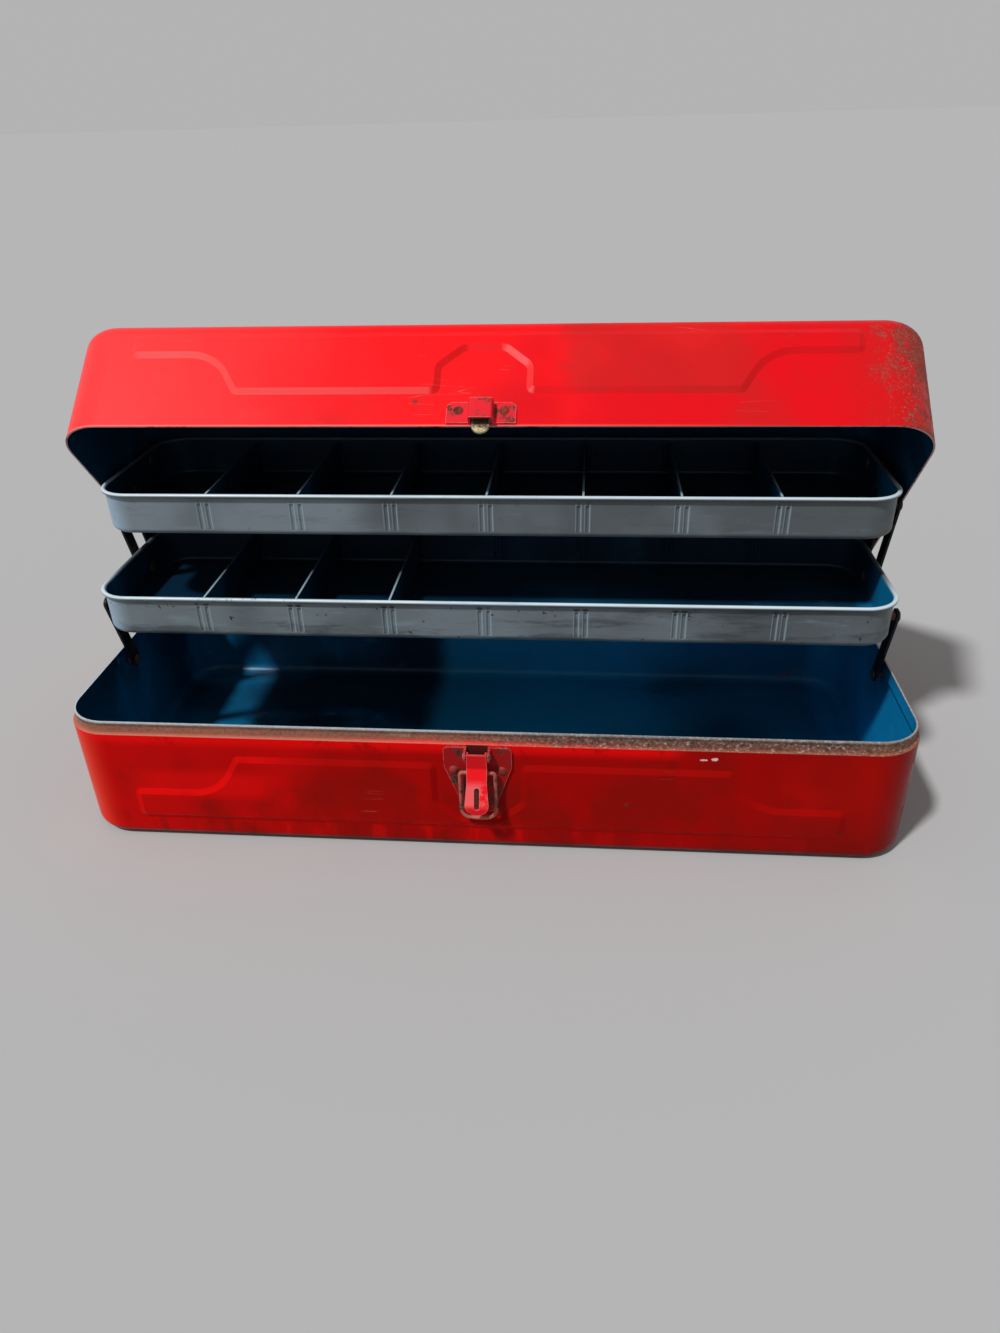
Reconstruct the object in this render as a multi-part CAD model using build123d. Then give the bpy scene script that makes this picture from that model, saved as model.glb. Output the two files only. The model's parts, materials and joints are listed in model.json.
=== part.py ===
from build123d import *
import os
from math import asin, atan, cos, degrees, hypot, radians, sin, tan

# Cantilever tool box: pressed steel base and lid, two trays carried on parallel arms at each
# end, and a draw latch. Origin at the centre of the base's underside, front towards -Y, +Z up.
# It is modelled open: the lid leans back and the trays have risen out of the base.
# Sizes are in millimetres and degrees.

# ---- Base and lid ------------------------------------------------------------------------
BOX_WIDTH = 406.0        # outside, end to end
BOX_DEPTH = 165.6        # outside, front to back
CORNER_R = 22.6          # upright corners
SHEET = 0.8              # pressed steel of base, lid and trays
BASE_HEIGHT = 61.6       # underside to the shoulder that the lid sits on
BASE_EDGE_R = 6.0        # edge round the floor
SHOULDER_R = 0.7
LIP_HEIGHT = 5.7         # inner lip that the lid closes over
LIP_INSET = 1.8          # step in from the wall to the lip
LID_HEIGHT = 60.2
LID_EDGE_R = 8.0         # edge round the lid's top
SEAM = 0.3               # gap between shoulder and lid when shut
LID_OPEN = 50.5          # how far the lid is turned back

# ---- Stiffening panels pressed out of the two fronts; heights are measured from the seam ---
PANEL_INSET = 32.0       # from each end of the box
PANEL_SHELF = 30.0       # lowered stretch at each end of the panel
PANEL_SWEEP = 24.0       # length of the step next to it, sharp at the high end, swept at the low
PANEL_STEP_ANGLE = 60.0
PANEL_RISE = 1.2
PANEL_SLOPE = 3.0        # width of the sloped edge
PANEL_ROUND = 4.0        # corners of the outline
PANEL_NOTCH = 39.5       # width left flat round the latch
PANEL_NOTCH_TOP = 18.0
NOTCH_CHAMFER = 9.4
BASE_PANEL = (10.8, 31.5, 42.0, 49.5)     # near edge, stepped edge, notch, far edge
LID_PANEL = (17.2, 38.0, 41.0, 51.5)

# ---- Trays -------------------------------------------------------------------------------
TRAY_TO_ARM = 1.6        # between the rolled rim and the inner layer of arms
TRAY_DEPTH = 95.0
TRAY_HEIGHT = 21.6
TRAY_CORNER_R = 16.0
TRAY_EDGE_R = 3.0
BEAD_R = 1.1             # rolled rim
BEAD_LAP = 0.6           # how far the bead is rolled into the wall
SLOT_PITCH = 46.4        # divider slots along the tray, as many as fit
RIB_SPACING = 4.2        # the two ribs that hold a divider
RIB_WIDTH = 2.4
RIB_CREST = 0.9
RIB_DEPTH = 0.7
RIB_FROM_RIM = 5.0
DIVIDER = 1.0            # divider sheet
DIVIDER_GAP = 0.3        # between a divider's ends and the tray walls
DIVIDER_BELOW_RIM = 2.0
LOWER_SLOTS_USED = 3     # the lower tray keeps a long compartment on the right

# ---- Arms; a pivot's place is given from the middle of the box, below the shoulder, or from
# a tray's front rim and underside ------------------------------------------------------------
OPEN_LEAN = 18.0         # forward lean of every arm when open
LOWER_REACH = 42.6       # base pivot to lower tray pivot
UPPER_REACH = 46.8       # lower tray pivot to upper tray pivot
LONG_PIVOT_IN = 40.6     # from the back of the box to the long arm's pivot
BASE_PIVOT_DROP = 4.0
TRAY_PIVOT_UP = 7.9
LONG_ON_LOWER = 66.7     # behind the lower tray's front rim
LONG_ON_UPPER = 29.0
FRONT_ARM_AHEAD = 46.5   # short front arm, ahead of the long one
REAR_ARM_BEHIND = 16.0   # rear arm, behind the long one
ARM_WIDTH = 7.5
ARM_SHEET = 1.2
ARM_LAYER_GAP = 0.4      # between the inner and outer layers of arms
LIP_TO_ARM = 0.5         # between the lip and the outer layer
LINK_FORWARD = 28.0      # lid link's pivot on the lid, ahead of the hinge
LINK_UP = 14.6           # and above it
LINK_ON_UPPER = 69.5     # its pivot on the upper tray, behind the front rim
LINK_BELOW_RIM = 6.0
LINK_LOST_MOTION = 0.15  # radial play of the link's hole on the tray
PIN_R = 1.6
SHOULDER_PIN_R = 2.3
PIVOT_HEAD_R = 2.6
PIVOT_HEAD = 0.7
END_PLAY = 0.15
FIT = 0.05               # radial clearance of a pin in its hole

# ---- Hinges ------------------------------------------------------------------------------
HINGE_INSET = 78.0       # from the end of the box to a hinge's middle
HINGE_WIDTH = 38.0
HINGE_LEAF = 15.0
HINGE_SHEET = 1.0
HINGE_PIN_R = 1.25
KNUCKLE_R = 2.6
KNUCKLE_STANDOFF = 0.35
KNUCKLE_WIDTH = 12.4     # the lid's middle knuckle
KNUCKLE_GAP = 0.3
HINGE_RIVET_X = 12.0
HINGE_RIVET_IN = 5.0     # from a leaf's free edge

# ---- Latch; "out" is in front of the base's front, heights are from the shoulder -------------
LATCH_SHEET = 1.0
PLATE_WIDTH = 32.0
PLATE_TOP = 1.2
PLATE_STRAIGHT = 12.0
PLATE_BOTTOM = 38.0
PLATE_FOOT = 14.0
PLATE_ROUND = 2.5
MOUTH_WIDTH = 10.0       # notch in the plate that the tongue drops into
MOUTH_DEPTH = 6.0
LATCH_RIVET_X = 11.3
LATCH_RIVET_DOWN = 14.0
LATCH_PIN_OUT = 3.4
LATCH_PIN_DOWN = 4.5
LATCH_PIN_R = 1.0
LATCH_PIN_HEAD = 0.5
EAR_SHEET = 0.8
EAR_R = 2.6
LEVER_WIDTH = 9.4        # down to the flanges' foot
LEVER_TIP_WIDTH = 11.2
LEVER_SHEET = 0.9
LEVER_TOP = 2.4
LEVER_FOLD = 10.0
LEVER_KNEE = 27.0
LEVER_TIP = 32.0
LEVER_OUT = 5.15         # middle of the sheet above the fold
LEVER_TIP_OUT = 11.6
LEVER_BEND_R = 3.0
FLANGE_FOOT = 16.2
FLANGE_BACK = 1.4
EAR_GAP = 0.5            # between lever and ears
SLOT_WIDTH = 2.5
SLOT_TOP = 18.5
SLOT_BOTTOM = 29.0
BAIL_OUT = 3.6
BAIL_DOWN = 13.5
BAIL_WIRE_R = 0.9
BAIL_LENGTH = 26.4
BAIL_SPREAD = 8.3        # a leg's middle from the latch's middle
BAIL_BEND_R = 5.0
BAIL_TURN_R = 1.6
BUSH_R = 1.5
BUSH_OVER = 0.3          # how far the bush stands past the lever's sides

# ---- Catch on the lid; heights are above the lid's rim -----------------------------------------
CATCH_WIDTH = 31.6
CATCH_BOTTOM = 1.0
CATCH_TOP = 12.0
CATCH_ROUND = 3.5
CATCH_RIVET_X = 10.4
CATCH_RIVET_UP = 7.6
HUMP_WIDTH = 11.2
HUMP_OUT = 5.6
HUMP_ROUND = 1.2
BAIL_SEAT = 0.3          # between the bail and the hump's top
TONGUE_WIDTH = 8.2
TONGUE_TOP = 8.0
TONGUE_TIP = 4.5         # below the rim
TONGUE_SET = 0.5         # joggle that clears the shoulder
TONGUE_BEVEL = 0.4
RIVET_HEAD_R = 2.3
RIVET_HEAD = 1.1
RIVET_R = 1.3
TAIL = 0.6

# ---- Carrying handle on the lid -----------------------------------------------------------------
HANDLE_R = 2.5
HANDLE_LIFT = 3.2        # its axis above the lid
HANDLE_LEG_X = 50.0
HANDLE_REACH = 34.0
HANDLE_END_X = 64.0
HANDLE_BEND_R = 10.0
HANDLE_TURN_R = 5.0
SADDLE_X = 59.5
SADDLE_WIDTH = 7.0
SADDLE_SHEET = 1.0
SADDLE_LENGTH = 25.0
SADDLE_RIVET_Y = 8.8

# ---- Places worked out from the sizes above ----------------------------------------------------
FRONT = -BOX_DEPTH / 2
BACK = BOX_DEPTH / 2
LONG_PIVOT_Y = BACK - LONG_PIVOT_IN
HINGE_X = BOX_WIDTH / 2 - HINGE_INSET
PANEL_WIDTH = BOX_WIDTH - 2 * PANEL_INSET
PANEL_STEP_IN = PANEL_WIDTH / 2 - PANEL_SHELF - PANEL_SWEEP
LID_RIM = BASE_HEIGHT + SEAM
LID_TOP = LID_RIM + LID_HEIGHT
HINGE_Y = BACK + KNUCKLE_STANDOFF + KNUCKLE_R
HINGE_Z = BASE_HEIGHT + SEAM / 2
WALL_IN = BOX_WIDTH / 2 - SHEET
LIP_IN = BOX_WIDTH / 2 - LIP_INSET - SHEET
OUTER_ARM = LIP_IN - LIP_TO_ARM - ARM_SHEET
INNER_ARM = OUTER_ARM - ARM_LAYER_GAP - ARM_SHEET
TRAY_WIDTH = 2 * (INNER_ARM - TRAY_TO_ARM)
TRAY_WALL = TRAY_WIDTH / 2 - 2 * BEAD_R + BEAD_LAP
TRAY_RIM_IN = TRAY_WIDTH / 2 - TRAY_WALL
HUMP_TOP = BAIL_LENGTH - BAIL_DOWN - BAIL_WIRE_R - BAIL_SEAT - SEAM


def arm_point(reach, ahead=0.0):
    """(y, z) of a point on an arm, at a reach from its pivot on the base."""
    y = LONG_PIVOT_Y - ahead - reach * sin(radians(OPEN_LEAN))
    return y, BASE_HEIGHT - BASE_PIVOT_DROP + reach * cos(radians(OPEN_LEAN))


LONG_REACH = LOWER_REACH + UPPER_REACH
LONG_LOW = arm_point(LOWER_REACH)
LONG_HIGH = arm_point(LONG_REACH)
LOWER_TRAY_FRONT = LONG_LOW[0] - LONG_ON_LOWER
LOWER_TRAY_Z = LONG_LOW[1] - TRAY_PIVOT_UP
UPPER_TRAY_FRONT = LONG_HIGH[0] - LONG_ON_UPPER
UPPER_TRAY_Z = LONG_HIGH[1] - TRAY_PIVOT_UP
LINK_TRAY_END = (UPPER_TRAY_FRONT + LINK_ON_UPPER, UPPER_TRAY_Z + TRAY_HEIGHT - LINK_BELOW_RIM)
LINK_LID_SHUT = (HINGE_Y - LINK_FORWARD, HINGE_Z + LINK_UP)
BASE_PIVOTS = (
    (arm_point(0, FRONT_ARM_AHEAD), INNER_ARM),
    (arm_point(0), OUTER_ARM),
    (arm_point(0, -REAR_ARM_BEHIND), INNER_ARM),
)
LOWER_PIVOTS = (
    (arm_point(LOWER_REACH, FRONT_ARM_AHEAD), INNER_ARM),
    (LONG_LOW, OUTER_ARM),
)
UPPER_PIVOTS = (
    (LONG_HIGH, OUTER_ARM),
    (arm_point(LONG_REACH, -REAR_ARM_BEHIND), INNER_ARM),
    (LINK_TRAY_END, OUTER_ARM),
)

# ---- Helpers -----------------------------------------------------------------------------------
FRONT_PLANE = Plane(origin=(0, FRONT, BASE_HEIGHT), x_dir=(1, 0, 0), z_dir=(0, -1, 0))


def side_plane(x):
    """Sketch plane across the latch: first axis out of the front, second axis up."""
    return Plane(origin=(x, FRONT, BASE_HEIGHT), x_dir=(0, -1, 0), z_dir=(-1, 0, 0))


def block(width, depth, radius, z_low, z_high):
    """Upright block with rounded corners, centred on the box."""
    outline = Plane.XY.offset(z_low) * RectangleRounded(width, depth, radius)
    return extrude(outline, z_high - z_low)


def inset_block(inset, z_low, z_high):
    """Block set in from the outside of the box all round."""
    return block(BOX_WIDTH - 2 * inset, BOX_DEPTH - 2 * inset, CORNER_R - inset, z_low, z_high)


def rod_x(x_low, x_high, radius, y, z):
    """Round rod along X."""
    return extrude(Plane(origin=(x_low, y, z), z_dir=(1, 0, 0)) * Circle(radius), x_high - x_low)


def both_ends(part):
    """The part and its mirror image at the left end."""
    return [part, mirror(part, Plane.YZ)]


def turned(stations):
    """Solid of revolution about Z through (height, radius) stations."""
    outline = [(0, stations[0][0])] + [(r, h) for h, r in stations] + [(0, stations[-1][0])]
    return revolve(Plane.XZ * make_face(Polyline(*outline, close=True)), Axis.Z)


def domed_rivet(grip):
    """Rivet along Z: domed head above 0, shank down through the grip, flat tail."""
    ball_r = (RIVET_HEAD_R ** 2 + RIVET_HEAD ** 2) / (2 * RIVET_HEAD)
    half = asin(RIVET_HEAD_R / ball_r) / 2
    shoulder = (ball_r * sin(half), RIVET_HEAD - ball_r * (1 - cos(half)))
    dome = ThreePointArc((0, RIVET_HEAD), shoulder, (RIVET_HEAD_R, 0))
    rest = Polyline(
        (RIVET_HEAD_R, 0), (RIVET_R, 0), (RIVET_R, -grip), (RIVET_HEAD_R, -grip),
        (RIVET_HEAD_R, -grip - TAIL), (0, -grip - TAIL), (0, RIVET_HEAD),
    )
    return revolve(Plane.XZ * make_face(dome.edges() + rest.edges()), Axis.Z)


def pivot_rivet(place, wall_near, wall_far, arm_near, arm_far):
    """Shouldered rivet along X, from its head on a wall to its head past an arm."""
    way = 1 if arm_far > wall_near else -1
    past_wall = abs(wall_far - wall_near)
    at_arm = abs(arm_near - wall_near) - END_PLAY
    past_arm = abs(arm_far - wall_near) + END_PLAY
    stations = [
        (-PIVOT_HEAD, PIVOT_HEAD_R), (0, PIVOT_HEAD_R), (0, PIN_R), (past_wall, PIN_R),
        (past_wall, SHOULDER_PIN_R), (at_arm, SHOULDER_PIN_R), (at_arm, PIN_R), (past_arm, PIN_R),
        (past_arm, PIVOT_HEAD_R), (past_arm + PIVOT_HEAD, PIVOT_HEAD_R),
    ]
    return Plane(origin=(wall_near, *place), z_dir=(way, 0, 0)) * turned(stations)


def pin_holes(places, x_low, x_high):
    """Cutters for the pivot rivets through one end wall and its mirror image."""
    cutters = []
    for y, z in places:
        cutters += both_ends(rod_x(x_low, x_high, PIN_R + FIT, y, z))
    return cutters


def opened(part):
    """Turn a piece of the shut lid back to where the lid stands open."""
    return part.rotate(Axis((0, HINGE_Y, HINGE_Z), (1, 0, 0)), -LID_OPEN)


def save(name, *solids):
    """Write one node."""
    part = solids[0] if len(solids) == 1 else Compound(children=list(solids))
    export_step(part, f"parts/{name}.step")


# ---- Base and lid ------------------------------------------------------------------------------
def panel(heights, up):
    """Raised panel on a front: a stepped edge near the seam, with a notch round the latch."""
    near, stepped, notch, far = heights
    half, notch_half = PANEL_WIDTH / 2, PANEL_NOTCH / 2
    run = (stepped - near) / tan(radians(PANEL_STEP_ANGLE))
    sweep_r = (PANEL_SWEEP - run) / tan(radians(PANEL_STEP_ANGLE / 2))
    right = [
        (PANEL_NOTCH_TOP / 2, notch), (notch_half, notch - NOTCH_CHAMFER), (notch_half, near),
        (PANEL_STEP_IN, near), (PANEL_STEP_IN + run, stepped),
        (half, stepped), (half, far),
    ]
    rounds = [PANEL_ROUND] * 4 + [sweep_r] + [PANEL_ROUND] * 2
    corners = [(x, up * height) for x, height in right]
    corners += [(-x, height) for x, height in reversed(corners)]
    outline = FilletPolyline(*corners, radius=rounds + rounds[::-1], close=True)
    return extrude(FRONT_PLANE * make_face(outline), PANEL_RISE,
                   taper=degrees(atan(PANEL_SLOPE / PANEL_RISE)))


def base_shell():
    body = inset_block(0, 0, BASE_HEIGHT)
    body = fillet(body.faces().sort_by(Axis.Z)[0].edges(), BASE_EDGE_R)
    body = fillet(body.faces().sort_by(Axis.Z)[-1].edges(), SHOULDER_R)
    body += inset_block(LIP_INSET, BASE_HEIGHT / 2, BASE_HEIGHT + LIP_HEIGHT)
    raised = panel(BASE_PANEL, -1)
    body += raised
    hollow = inset_block(SHEET, SHEET, BASE_HEIGHT - SHEET)
    hollow = fillet(hollow.faces().sort_by(Axis.Z)[0].edges(), BASE_EDGE_R - SHEET)
    hollow += inset_block(LIP_INSET + SHEET, BASE_HEIGHT / 2, BASE_HEIGHT + 2 * LIP_HEIGHT)
    body -= hollow
    body -= Pos(0, SHEET, 0) * raised
    body -= pin_holes([place for place, _ in BASE_PIVOTS], WALL_IN - SHEET, BOX_WIDTH / 2 + SHEET)
    for x, drop in ((LATCH_RIVET_X, LATCH_RIVET_DOWN), (-LATCH_RIVET_X, LATCH_RIVET_DOWN)):
        body -= front_hole(x, -drop)
    return body - back_holes(-1)


def lid_shell():
    body = inset_block(0, LID_RIM, LID_TOP)
    body = fillet(body.faces().sort_by(Axis.Z)[-1].edges(), LID_EDGE_R)
    raised = Pos(0, 0, SEAM) * panel(LID_PANEL, 1)
    body += raised
    hollow = inset_block(SHEET, LID_RIM - SHEET, LID_TOP - SHEET)
    hollow = fillet(hollow.faces().sort_by(Axis.Z)[-1].edges(), LID_EDGE_R - SHEET)
    body -= hollow
    body -= Pos(0, SHEET, 0) * raised
    body -= pin_holes([LINK_LID_SHUT], WALL_IN - SHEET, BOX_WIDTH / 2 + SHEET)
    for x in (CATCH_RIVET_X, 0, -CATCH_RIVET_X):
        body -= front_hole(x, SEAM + CATCH_RIVET_UP)
    for x, y in saddle_rivet_places():
        body -= Pos(x, y, LID_TOP) * Cylinder(RIVET_R + FIT, 4 * SHEET)
    return body - back_holes(1)


def front_hole(x, height):
    """Cutter for a rivet through a front wall."""
    return extrude(FRONT_PLANE.offset(-2 * SHEET) * Pos(x, height) * Circle(RIVET_R + FIT), 4 * SHEET)


# ---- Hinges ------------------------------------------------------------------------------------
def hinge_rivet_places(up):
    """(x, z) of the rivets of both hinges on the base (up = -1) or the lid (up = 1)."""
    z = HINGE_Z + up * (HINGE_LEAF - HINGE_RIVET_IN)
    return [(hinge + rivet, z) for hinge in (-HINGE_X, HINGE_X)
            for rivet in (-HINGE_RIVET_X, HINGE_RIVET_X)]


def back_holes(up):
    """Cutters for the hinge rivets through a back wall."""
    back = Plane(origin=(0, BACK - 2 * SHEET, 0), x_dir=(-1, 0, 0), z_dir=(0, 1, 0))
    return [extrude(back * Pos(-x, z) * Circle(RIVET_R + FIT), 4 * SHEET)
            for x, z in hinge_rivet_places(up)]


def hinge_leaf(hinge, up):
    """Leaf on the back of the base (up = -1, two outer knuckles) or the lid (up = 1, one)."""
    half, middle = HINGE_WIDTH / 2, KNUCKLE_WIDTH / 2
    side = middle + KNUCKLE_GAP
    spans = [(-middle, middle)] if up > 0 else [(-half, -side), (side, half)]
    others = [(-half, -middle), (middle, half)] if up > 0 else [(-side, side)]
    z_end = HINGE_Z + up * HINGE_LEAF
    leaf = Pos(hinge, BACK + HINGE_SHEET / 2, (HINGE_Z + z_end) / 2) * Box(
        HINGE_WIDTH, HINGE_SHEET, HINGE_LEAF)
    leaf = fillet(leaf.edges().filter_by(Axis.Y).group_by(Axis.Z)[0 if up < 0 else -1], 3.0)
    clear = KNUCKLE_R + KNUCKLE_GAP
    for low, high in others:
        leaf -= rod_x(hinge + low, hinge + high, clear, HINGE_Y, HINGE_Z)
    for low, high in spans:
        leaf += rod_x(hinge + low, hinge + high, KNUCKLE_R, HINGE_Y, HINGE_Z)
    leaf -= rod_x(hinge - half, hinge + half, HINGE_PIN_R + FIT, HINGE_Y, HINGE_Z)
    wall = Box(2 * HINGE_WIDTH, BOX_DEPTH, 4 * HINGE_LEAF)
    leaf -= Pos(hinge, 0, HINGE_Z) * wall
    for x, z in hinge_rivet_places(up):
        leaf -= Plane(origin=(x, BACK - SHEET, z), z_dir=(0, 1, 0)) * Cylinder(RIVET_R + FIT, 6 * SHEET)
    return leaf


def hinge_pin(hinge):
    half = HINGE_WIDTH / 2
    pin = rod_x(hinge - half - KNUCKLE_GAP, hinge + half + KNUCKLE_GAP, HINGE_PIN_R, HINGE_Y, HINGE_Z)
    for end in (hinge - half - KNUCKLE_GAP - HINGE_SHEET, hinge + half + KNUCKLE_GAP):
        pin += rod_x(end, end + HINGE_SHEET, HINGE_PIN_R * 1.5, HINGE_Y, HINGE_Z)
    return pin


def hinge_rivets(up):
    rivets = []
    for x, z in hinge_rivet_places(up):
        place = Plane(origin=(x, BACK + HINGE_SHEET, z), z_dir=(0, 1, 0))
        rivets.append(place * domed_rivet(HINGE_SHEET + SHEET))
    return rivets


# ---- Trays -------------------------------------------------------------------------------------
def rib(x, side, shift):
    """One pressed rib of a divider slot on the front (side = -1) or back wall of a tray."""
    face = side * (TRAY_DEPTH / 2 - TRAY_RIM_IN - shift)
    inner = face - side * RIB_DEPTH
    section = Polyline(
        (x - RIB_WIDTH / 2, face), (x + RIB_WIDTH / 2, face),
        (x + RIB_CREST / 2, inner), (x - RIB_CREST / 2, inner), close=True,
    )
    low, high = TRAY_EDGE_R, TRAY_HEIGHT - RIB_FROM_RIM
    return extrude(Plane.XY.offset(low) * make_face(section), high - low)


def slot_positions():
    count = int((TRAY_WIDTH - 2 * TRAY_CORNER_R) // SLOT_PITCH)
    return [(i - (count - 1) / 2) * SLOT_PITCH for i in range(count)]


def tray(front, z, pivots):
    """Pressed tray with a rolled rim and ribbed divider slots, placed by its front rim."""
    wall_depth = TRAY_DEPTH - 2 * TRAY_RIM_IN
    bead_z = TRAY_HEIGHT - BEAD_R
    body = block(2 * TRAY_WALL, wall_depth, TRAY_CORNER_R, 0, bead_z)
    body = fillet(body.faces().sort_by(Axis.Z)[0].edges(), TRAY_EDGE_R)
    hollow = block(2 * (TRAY_WALL - SHEET), wall_depth - 2 * SHEET, TRAY_CORNER_R - SHEET,
                   SHEET, 2 * TRAY_HEIGHT)
    hollow = fillet(hollow.faces().sort_by(Axis.Z)[0].edges(), TRAY_EDGE_R - SHEET)
    body -= hollow
    rim_r = TRAY_CORNER_R + TRAY_RIM_IN - BEAD_R
    rim = Plane.XY.offset(bead_z) * RectangleRounded(
        TRAY_WIDTH - 2 * BEAD_R, TRAY_DEPTH - 2 * BEAD_R, rim_r)
    path = rim.faces()[0].outer_wire()
    start = path @ 0
    body += sweep(Plane(origin=start, z_dir=path % 0) * Circle(BEAD_R), path)
    places = [(x + offset, side) for x in slot_positions()
              for offset in (-RIB_SPACING / 2, RIB_SPACING / 2) for side in (-1, 1)]
    body += [rib(x, side, SHEET) for x, side in places]
    body -= [rib(x, side, 0) for x, side in places]
    body = Pos(0, front + TRAY_DEPTH / 2, z) * body
    return body - pin_holes([place for place, _ in pivots], TRAY_WALL - 2 * SHEET, TRAY_WALL + SHEET)


def divider(x, front, z):
    """Divider plate that stands on the tray floor between two pairs of ribs."""
    length = TRAY_DEPTH - 2 * (TRAY_RIM_IN + SHEET + DIVIDER_GAP)
    low, high = SHEET, TRAY_HEIGHT - DIVIDER_BELOW_RIM
    plate = Box(DIVIDER, length, high - low)
    plate = chamfer(plate.edges().filter_by(Axis.X).group_by(Axis.Z)[0], TRAY_EDGE_R)
    plate = fillet(plate.edges().filter_by(Axis.X).group_by(Axis.Z)[-1], TRAY_EDGE_R)
    return Pos(x, front + TRAY_DEPTH / 2, z + (low + high) / 2) * plate


# ---- Arms and their rivets -----------------------------------------------------------------------
def bar(start, end, x, holes):
    """Flat bar with round ends from start to end, (y, z) each, with (reach, radius) holes."""
    run = (end[0] - start[0], end[1] - start[1])
    length = hypot(*run)
    plane = Plane(origin=(x, *start), x_dir=(0, *run), z_dir=(1, 0, 0))
    outline = Pos(length / 2, 0) * SlotCenterToCenter(length, ARM_WIDTH)
    for reach, radius in holes:
        outline -= Pos(reach, 0) * Circle(radius)
    return extrude(plane * outline, ARM_SHEET)


def arms():
    """The four kinds of bar at the right end, by name."""
    hole = PIN_R + FIT
    lid_end = turned_back(LINK_LID_SHUT)
    link = hypot(LINK_TRAY_END[0] - lid_end[0], LINK_TRAY_END[1] - lid_end[1])
    return {
        "front_arm": bar(arm_point(0, FRONT_ARM_AHEAD), arm_point(LOWER_REACH, FRONT_ARM_AHEAD),
                         INNER_ARM, [(0, hole), (LOWER_REACH, hole)]),
        "long_arm": bar(arm_point(0), LONG_HIGH, OUTER_ARM,
                        [(0, hole), (LOWER_REACH, hole), (LONG_REACH, hole)]),
        "rear_arm": bar(arm_point(0, -REAR_ARM_BEHIND), arm_point(LONG_REACH, -REAR_ARM_BEHIND),
                        INNER_ARM, [(0, hole), (LONG_REACH, hole)]),
        "lid_link": bar(lid_end, LINK_TRAY_END, OUTER_ARM,
                        [(0, hole), (link, PIN_R + LINK_LOST_MOTION)]),
    }


def turned_back(place):
    """(y, z) of a point of the shut lid when the lid stands open."""
    y, z = place[0] - HINGE_Y, place[1] - HINGE_Z
    turn = radians(-LID_OPEN)
    return HINGE_Y + y * cos(turn) - z * sin(turn), HINGE_Z + y * sin(turn) + z * cos(turn)


def wall_pivots(pivots):
    """Pivot rivets through the end walls of the base or the shut lid, headed outside."""
    rivets = []
    for place, arm_x in pivots:
        rivets += both_ends(pivot_rivet(place, BOX_WIDTH / 2, WALL_IN, arm_x + ARM_SHEET, arm_x))
    return rivets


def tray_pivots(pivots):
    """Pivot rivets through the end walls of a tray, headed inside the tray."""
    rivets = []
    for place, arm_x in pivots:
        rivets += both_ends(pivot_rivet(place, TRAY_WALL - SHEET, TRAY_WALL, arm_x, arm_x + ARM_SHEET))
    return rivets


# ---- Latch ---------------------------------------------------------------------------------------
def latch_plate():
    half, foot = PLATE_WIDTH / 2, PLATE_FOOT / 2
    corners = [
        (-half, -PLATE_TOP), (half, -PLATE_TOP), (half, -PLATE_STRAIGHT), (foot, -PLATE_BOTTOM),
        (-foot, -PLATE_BOTTOM), (-half, -PLATE_STRAIGHT),
    ]
    outline = fillet(make_face(Polyline(*corners, close=True)).vertices(), PLATE_ROUND)
    mouth = Rectangle(MOUTH_WIDTH, MOUTH_DEPTH, align=(Align.CENTER, Align.MAX))
    outline -= Pos(0, -PLATE_TOP) * mouth
    for x in (-LATCH_RIVET_X, LATCH_RIVET_X):
        outline -= Pos(x, -LATCH_RIVET_DOWN) * Circle(RIVET_R + FIT)
    plate = extrude(FRONT_PLANE * outline, LATCH_SHEET)
    ear_outer = LEVER_WIDTH / 2 + EAR_GAP + EAR_SHEET
    ear = Pos(0, -LATCH_PIN_DOWN) * Rectangle(LATCH_PIN_OUT, 2 * EAR_R, align=(Align.MIN, Align.CENTER))
    ear += Pos(LATCH_PIN_OUT, -LATCH_PIN_DOWN) * Circle(EAR_R)
    ear -= Pos(LATCH_PIN_OUT, -LATCH_PIN_DOWN) * Circle(LATCH_PIN_R + FIT)
    for cheek in both_ends(extrude(side_plane(ear_outer) * ear, EAR_SHEET)):
        plate += cheek
    return plate


def latch_pin():
    """Headed pin through the ears and the lever."""
    y, z = FRONT - LATCH_PIN_OUT, BASE_HEIGHT - LATCH_PIN_DOWN
    reach = LEVER_WIDTH / 2 + EAR_GAP + EAR_SHEET
    pin = rod_x(-reach, reach, LATCH_PIN_R, y, z)
    for end in (-reach - LATCH_PIN_HEAD, reach):
        pin += rod_x(end, end + LATCH_PIN_HEAD, LATCH_PIN_R * 1.4, y, z)
    return pin


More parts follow.
